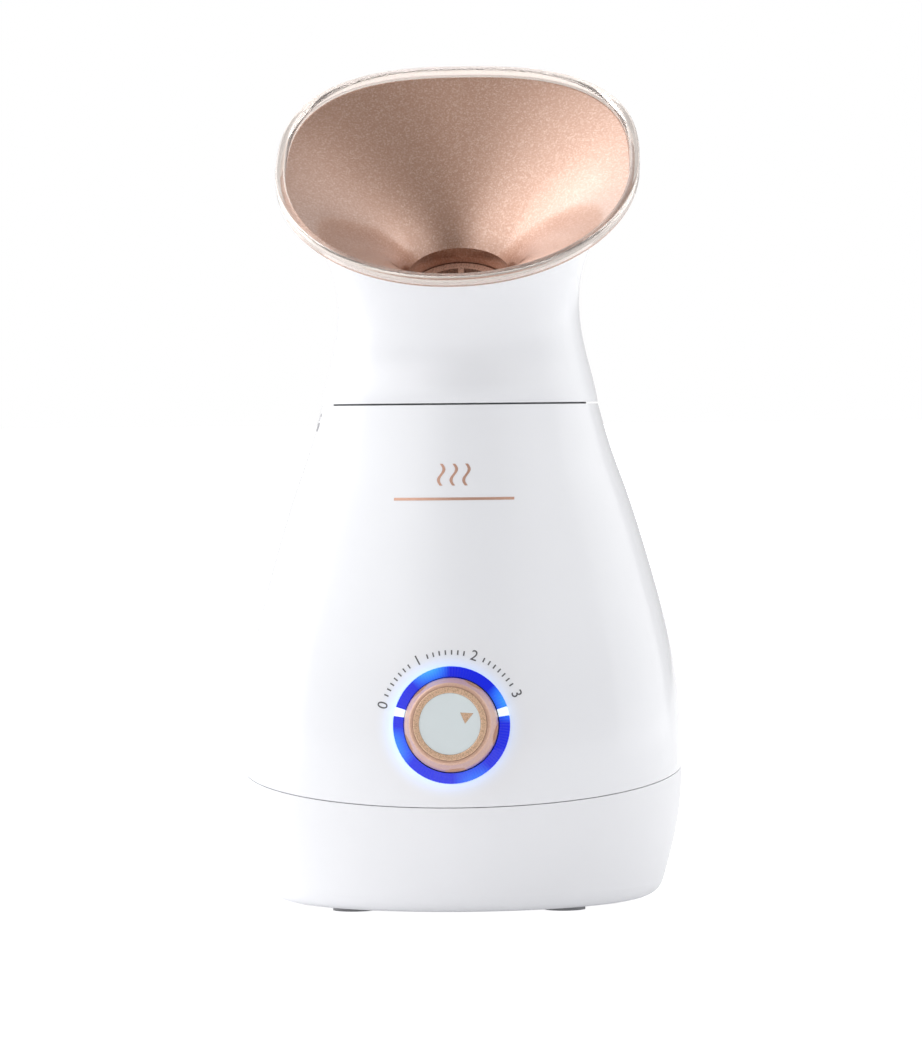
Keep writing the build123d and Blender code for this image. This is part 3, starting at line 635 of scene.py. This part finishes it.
class STEAMER_OT_inside(bpy.types.Operator):
    """Finish the tank, the tray, the heater, the electrics, the seals and the fasteners"""
    bl_idname = "steamer.inside"
    bl_label = "Inside"

    def execute(self, context):
        natural = moulded("tray_plastic", (0.80, 0.81, 0.82), 0.34, 0.05, 1000, 0.1)
        for node in ("tank_collar", "towel_tray", "coupling_ring", "steam_duct"):
            dress(node, natural)
        pale = moulded("clear_tank", (0.72, 0.77, 0.80), 0.2, 0.05, 800, 0.05, Transmission_Weight=0.35)
        dress("tank", pale)
        dress("tank_floor", pale)
        silicone = moulded("silicone", (0.62, 0.62, 0.62), 0.5, 0.08, 1500, 0.1, Subsurface_Weight=0.2)
        for node in ("tank_seal", "plate_seal", "head_seal"):
            dress(node, silicone)
        steel = brushed("stainless", (0.60, 0.60, 0.61), 0.28, (30, 1100, 1100), 0.12)
        for node in ("heating_plate", "plate_clamp", "switch_bracket", "switch_nut", "switch_shaft"):
            dress(node, steel)
        dress("heater_element", brushed("cast_aluminium", (0.52, 0.52, 0.53), 0.5, (300, 300, 300), 0.4))
        zinc = brushed("zinc_screw", (0.62, 0.63, 0.64), 0.3, (500, 500, 60), 0.1)
        for node in ("housing_screws", "tank_screws", "clamp_screws", "board_screws", "head_screws",
                     "bracket_screws"):
            dress(node, zinc)
        green = moulded("circuit_board", (0.02, 0.13, 0.06), 0.3, 0.3, 600, 0.1, Coat_Weight=0.5)
        dress("control_board", green)
        dress("led_board", green)
        black = moulded("component_black", (0.015, 0.015, 0.018), 0.42, 0.2, 1000, 0.2)
        for node in ("thermostat", "capacitors", "switch_body"):
            dress(node, black)
        dress("relay", moulded("component_blue", (0.02, 0.06, 0.26), 0.35, 0.1, 1000, 0.1))
        ceramic = moulded("ceramic_white", (0.76, 0.74, 0.68), 0.45, 0.1, 1000, 0.15)
        dress("thermal_fuse", ceramic)
        dress("terminal_block", ceramic)
        dress("aroma_basket", pearly("rose_basket", (0.60, 0.37, 0.28), (0.95, 0.78, 0.68), 0.2, 0.3,
                                     Metallic=0.4))
        return {"FINISHED"}


class STEAMER_OT_aroma_pad(bpy.types.Operator):
    """Model the felt pad that holds the scent, in place of its plain solid"""
    bl_idname = "steamer.aroma_pad"
    bl_label = "Aroma pad"

    def execute(self, context):
        low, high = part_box("aroma_pad")
        radius = (high.x - low.x) / 2 - 0.1 * MM
        thickness = 2.6 * MM
        tilt = math.radians(35)
        bpy.ops.object.select_all(action="DESELECT")
        bpy.ops.mesh.primitive_cylinder_add(vertices=48, radius=radius, depth=thickness, end_fill_type="NGON")
        pad = bpy.context.object
        pad.name = "felt_aroma_pad"
        bpy.ops.object.mode_set(mode="EDIT")
        bpy.ops.mesh.select_all(action="SELECT")
        bpy.ops.mesh.bevel(offset=0.5 * MM, segments=3, affect="EDGES")
        bpy.ops.object.mode_set(mode="OBJECT")
        apply_modifier(pad, "REMESH", mode="VOXEL", voxel_size=0.35 * MM)
        fibres = bpy.data.textures.new("felt_fibres", "CLOUDS")
        fibres.noise_scale = 1.1 * MM
        apply_modifier(pad, "DISPLACE", texture=fibres, strength=0.22 * MM, mid_level=0.6)
        pad.rotation_euler = (tilt, 0, 0)
        pad.location = (low + high) / 2
        apply_place(pad)
        bpy.ops.object.shade_smooth()
        felt = moulded("felt", (0.74, 0.71, 0.64), 0.95, 0.25, 2200, 0.6, Sheen_Weight=0.5)
        finish(pad, felt, "head")
        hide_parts("aroma_pad")
        return {"FINISHED"}


# Printed marks: drawn flat and facing the user, laid on the casing, and given the ink's thickness

INK_LIFT = 0.03 * MM
INK_THICKNESS = 0.04 * MM
PRINT_PLANE = -0.12


def lay_on_body(mark, turn=0.0):
    # The flat mark stands in front of the casing; it moves straight onto it along its own depth
    apply_place(mark)
    mark.rotation_euler = (0, 0, turn)
    apply_modifier(
        mark, "SHRINKWRAP", target=frame["nodes"]["body_shell"], wrap_method="PROJECT",
        use_project_y=True, use_positive_direction=True, use_negative_direction=False,
        offset=INK_LIFT, wrap_mode="ABOVE_SURFACE",
    )
    apply_modifier(mark, "SOLIDIFY", thickness=INK_THICKNESS, offset=1)
    apply_place(mark)


def upright(piece, x, z, turn=0.0):
    # Stands a shape that was drawn on the ground up to face the user, in the print plane
    piece.matrix_world = Matrix.Translation((x, PRINT_PLANE, z)) @ Matrix.Rotation(turn, 4, "Y") \
        @ Matrix.Rotation(math.pi / 2, 4, "X")


def numeral(text, height, x, z, turn):
    bpy.ops.object.select_all(action="DESELECT")
    bpy.ops.object.text_add()
    piece = bpy.context.object
    piece.data.body = text
    piece.data.size = height / 0.7
    piece.data.align_x = "CENTER"
    piece.data.align_y = "CENTER"
    bpy.ops.object.convert(target="MESH")
    upright(piece, x, z, turn)
    return piece


def bar(length, width, x, z, turn=0.0, cuts=0):
    bpy.ops.object.select_all(action="DESELECT")
    bpy.ops.mesh.primitive_plane_add(size=1)
    piece = bpy.context.object
    piece.scale = (length, width, 1)
    apply_place(piece)
    if cuts:
        bpy.ops.object.mode_set(mode="EDIT")
        bpy.ops.mesh.subdivide(number_cuts=cuts)
        bpy.ops.object.mode_set(mode="OBJECT")
    upright(piece, x, z, turn)
    return piece


class STEAMER_OT_dial_scale(bpy.types.Operator):
    """Print the numerals and the dashes round the knob"""
    bl_idname = "steamer.dial_scale"
    bl_label = "Knob scale"

    def execute(self, context):
        settings = context.scene.steamer_marks
        radius = settings.scale_radius
        start = math.radians(24)
        sweep = math.radians(KNOB_JOINT["range_deg"][1])
        stops = 3
        centre = KNOB_CENTRE + KNOB_AXIS * 3 * MM
        pieces = []
        for stop in range(stops + 1):
            angle = start + sweep * (1 - stop / stops)
            x, z = centre.x + radius * math.cos(angle), centre.z + radius * math.sin(angle)
            pieces.append(numeral(str(stop), settings.numeral_height, x, z, math.pi / 2 - angle))
        dashes = 7
        for gap in range(stops):
            for k in range(1, dashes + 1):
                share = 0.18 + 0.64 * (k - 1) / (dashes - 1)
                angle = start + sweep * (1 - (gap + share) / stops)
                x, z = centre.x + radius * math.cos(angle), centre.z + radius * math.sin(angle)
                pieces.append(bar(0.45 * MM, 1.5 * MM, x, z, math.pi / 2 - angle))
        scale = join(pieces, "printed_knob_scale")
        lay_on_body(scale)
        finish(scale, moulded("grey_ink", settings.ink, 0.5, 0.2, 1500, 0.1), "housing")
        return {"FINISHED"}


class STEAMER_OT_front_mark(bpy.types.Operator):
    """Print the rose gold steam sign and its rule on the front"""
    bl_idname = "steamer.front_mark"
    bl_label = "Front mark"

    def execute(self, context):
        settings = context.scene.steamer_marks
        middle = 0.6 * MM
        pieces = []
        for k in (-1, 0, 1):
            pieces.append(self.wisp(middle + k * 4.2 * MM, 146.5 * MM, 7.2 * MM))
        pieces.append(bar(40 * MM, 0.9 * MM, middle, 138.5 * MM, cuts=30))
        mark = join(pieces, "printed_steam_sign")
        lay_on_body(mark)
        foil = pearly("rose_foil", settings.foil, (0.95, 0.78, 0.68), 0.15, 0.34, 0.03, 3200, Metallic=0.5)
        finish(mark, foil, "housing")
        return {"FINISHED"}

    def wisp(self, x, z, height):
        # A wavy stroke of even width, from a strip whose cross lines are moved sideways
        strip = bar(1.0 * MM, height, 0, 0, cuts=14)
        for vertex in strip.data.vertices:
            share = vertex.co.y / height
            vertex.co.x += 0.9 * MM * math.sin(2 * math.pi * share)
        upright(strip, x, z)
        return strip


class STEAMER_OT_lock_signs(bpy.types.Operator):
    """Print the open and closed padlocks under the neck seam"""
    bl_idname = "steamer.lock_signs"
    bl_label = "Lock signs"

    def execute(self, context):
        settings = context.scene.steamer_marks
        ink = moulded("lock_ink", (0.35, 0.35, 0.37), 0.5, 0.2, 1500, 0.1)
        for name, turn, lift in (("open", -77, 1.3 * MM), ("closed", -103, 0.0)):
            z = NECK_SEAM - 7.2 * MM
            body = bar(3.4 * MM, 2.8 * MM, 0, z, cuts=4)
            bpy.ops.object.select_all(action="DESELECT")
            bpy.ops.mesh.primitive_circle_add(vertices=24, radius=1.25 * MM, fill_type="NOTHING")
            shackle = bpy.context.object
            bpy.ops.object.mode_set(mode="EDIT")
            bpy.ops.mesh.extrude_edges_move()
            bpy.ops.transform.resize(value=(0.6, 0.6, 1))
            bpy.ops.mesh.select_all(action="SELECT")
            bpy.ops.mesh.bisect(plane_co=(0, 0, 0), plane_no=(0, 1, 0), clear_inner=True)
            bpy.ops.object.mode_set(mode="OBJECT")
            shift = 0.8 * MM if lift else 0.0
            sides = (-1.0 * MM,) if lift else (-1.0 * MM, 1.0 * MM)
            upright(shackle, shift, z + 2.1 * MM + lift)
            leg_z = z + 1.7 * MM + lift * 0.7
            legs = [bar(0.5 * MM, 1.1 * MM, side + shift, leg_z, cuts=2) for side in sides]
            mark = join([body, shackle] + legs, f"printed_lock_{name}")
            lay_on_body(mark, math.radians(turn))
            finish(mark, ink, "housing")
        return {"FINISHED"}


# Studio panels: name, place, width, height and power in watts
SOFTBOXES = [
    ("softbox_left", (-1.3, 0.72, 1.1), 1.6, 2.2, 7.5),
    ("softbox_right", (1.4, 0.80, 0.80), 1.6, 1.60, 4),
]


class STEAMER_OT_stage(bpy.types.Operator):
    """Set up the floor, the world, the softboxes and the camera"""
    bl_idname = "steamer.stage"
    bl_label = "White studio"

    def execute(self, context):
        settings = context.scene.steamer_stage
        context.scene.view_settings.view_transform = "Standard"
        self.floor()
        self.world(context)
        for softbox in SOFTBOXES:
            self.softbox(*softbox)
        bpy.ops.object.select_all(action="DESELECT")
        bpy.ops.object.camera_add()
        camera = bpy.context.object
        camera.name = "studio_camera"
        camera.data.lens = settings.lens
        camera.data.sensor_width = 36
        camera.data.clip_start = 0.05
        stand = Matrix.Translation((0, -settings.distance, settings.eye_height))
        place = Matrix.Rotation(settings.azimuth, 4, "Z") @ stand
        aim = Matrix.Rotation(math.pi / 2 - settings.pitch, 4, "X") @ Matrix.Rotation(-settings.roll, 4, "Z")
        camera.matrix_world = place @ aim
        context.scene.camera = camera
        return {"FINISHED"}

    def floor(self):
        bpy.ops.object.select_all(action="DESELECT")
        bpy.ops.mesh.primitive_circle_add(vertices=96, radius=40, fill_type="NGON")
        floor = bpy.context.object
        floor.name = "studio_floor"
        material = moulded("pale_floor", (0.93, 0.93, 0.935), 0.6, 0.02, 200, 0.02,
                           Emission_Color=(1, 1, 1, 1))
        tree = material.node_tree
        seen = wire(tree, "LightPath").outputs["Is Camera Ray"]
        glow = wire(tree, "MapRange", {"Value": seen, "To Min": 0.12, "To Max": 0.85}).outputs[0]
        tree.links.new(glow, tree.nodes["Principled BSDF"].inputs["Emission Strength"])
        floor.data.materials.append(material)

    def world(self, context):
        # White where the camera sees it. What it lights and shows in reflections is dimmer and depends
        # on direction: bright to the left, most of all high up, paler to the right and behind
        world = bpy.data.worlds.new("white_room")
        context.scene.world = world
        world.use_nodes = True
        tree = world.node_tree
        seen = wire(tree, "LightPath").outputs["Is Camera Ray"]
        place = wire(tree, "TexCoord").outputs["Generated"]
        axes = wire(tree, "SeparateXYZ", {0: place})
        left = self.slope(tree, axes.outputs["X"], 0.08, -0.6, 0, 1)
        high = self.slope(tree, axes.outputs["Z"], 0.1, 0.55, 0, 1)
        right = self.slope(tree, axes.outputs["X"], 0.3, 0.85, 0, 1)
        lobes = [
            number(tree, "MULTIPLY", right, 0.36),
            self.slope(tree, axes.outputs["Y"], 0.0, 0.5, 0, 0.35),
            number(tree, "MULTIPLY", left, 0.5),
            number(tree, "MULTIPLY", left, high),
            number(tree, "MULTIPLY", number(tree, "MULTIPLY", right, high), 0.7),
        ]
        total = self.slope(tree, axes.outputs["Z"], 0.1, 0.8, 0.20, 0.36)
        for lobe in lobes:
            total = number(tree, "ADD", total, lobe)
        strength = wire(tree, "Mix", {0: seen, 2: total, 3: 1.0}).outputs[0]
        tree.links.new(strength, tree.nodes["Background"].inputs["Strength"])
        tree.nodes["Background"].inputs["Color"].default_value = (1, 1, 1, 1)

    def slope(self, tree, value, start, end, low, high):
        return wire(tree, "MapRange", {
            "Value": value, "From Min": start, "From Max": end, "To Min": low, "To Max": high,
        }, interpolation_type="SMOOTHSTEP").outputs[0]

    def softbox(self, name, place, width, height, power):
        # A panel that faces straight across, towards the plane through the steamer's axis
        bpy.ops.object.select_all(action="DESELECT")
        bpy.ops.object.light_add(type="AREA", location=place)
        lamp = bpy.context.object
        lamp.name = name
        lamp.data.shape = "RECTANGLE"
        lamp.data.size = width
        lamp.data.size_y = height
        lamp.data.energy = power
        lamp.rotation_euler = Vector((-place[0], 0, 0)).to_track_quat("-Z", "Y").to_euler()


OPERATORS = [
    STEAMER_OT_casing,
    STEAMER_OT_funnel,
    STEAMER_OT_lip,
    STEAMER_OT_knob,
    STEAMER_OT_inside,
    STEAMER_OT_aroma_pad,
    STEAMER_OT_dial_scale,
    STEAMER_OT_front_mark,
    STEAMER_OT_lock_signs,
    STEAMER_OT_stage,
]


class STEAMER_PT_sidebar(bpy.types.Panel):
    bl_idname = "STEAMER_PT_sidebar"
    bl_label = "Facial steamer"
    bl_space_type = "VIEW_3D"
    bl_region_type = "UI"
    bl_category = "Steamer"

    def draw(self, context):
        for name, group in SETTINGS.items():
            box = self.layout.box()
            for label in group.__annotations__:
                box.prop(getattr(context.scene, name), label)
        for operator in OPERATORS:
            self.layout.operator(operator.bl_idname)


CLASSES = list(SETTINGS.values()) + OPERATORS + [STEAMER_PT_sidebar]


def register():
    for item in CLASSES:
        bpy.utils.register_class(item)
    for name, group in SETTINGS.items():
        setattr(bpy.types.Scene, name, bpy.props.PointerProperty(type=group))


def unregister():
    for name in SETTINGS:
        delattr(bpy.types.Scene, name)
    for item in reversed(CLASSES):
        bpy.utils.unregister_class(item)


def main():
    register()
    for operator in OPERATORS:
        group, name = operator.bl_idname.split(".")
        getattr(getattr(bpy.ops, group), name)()


if __name__ == "__main__":
    main()
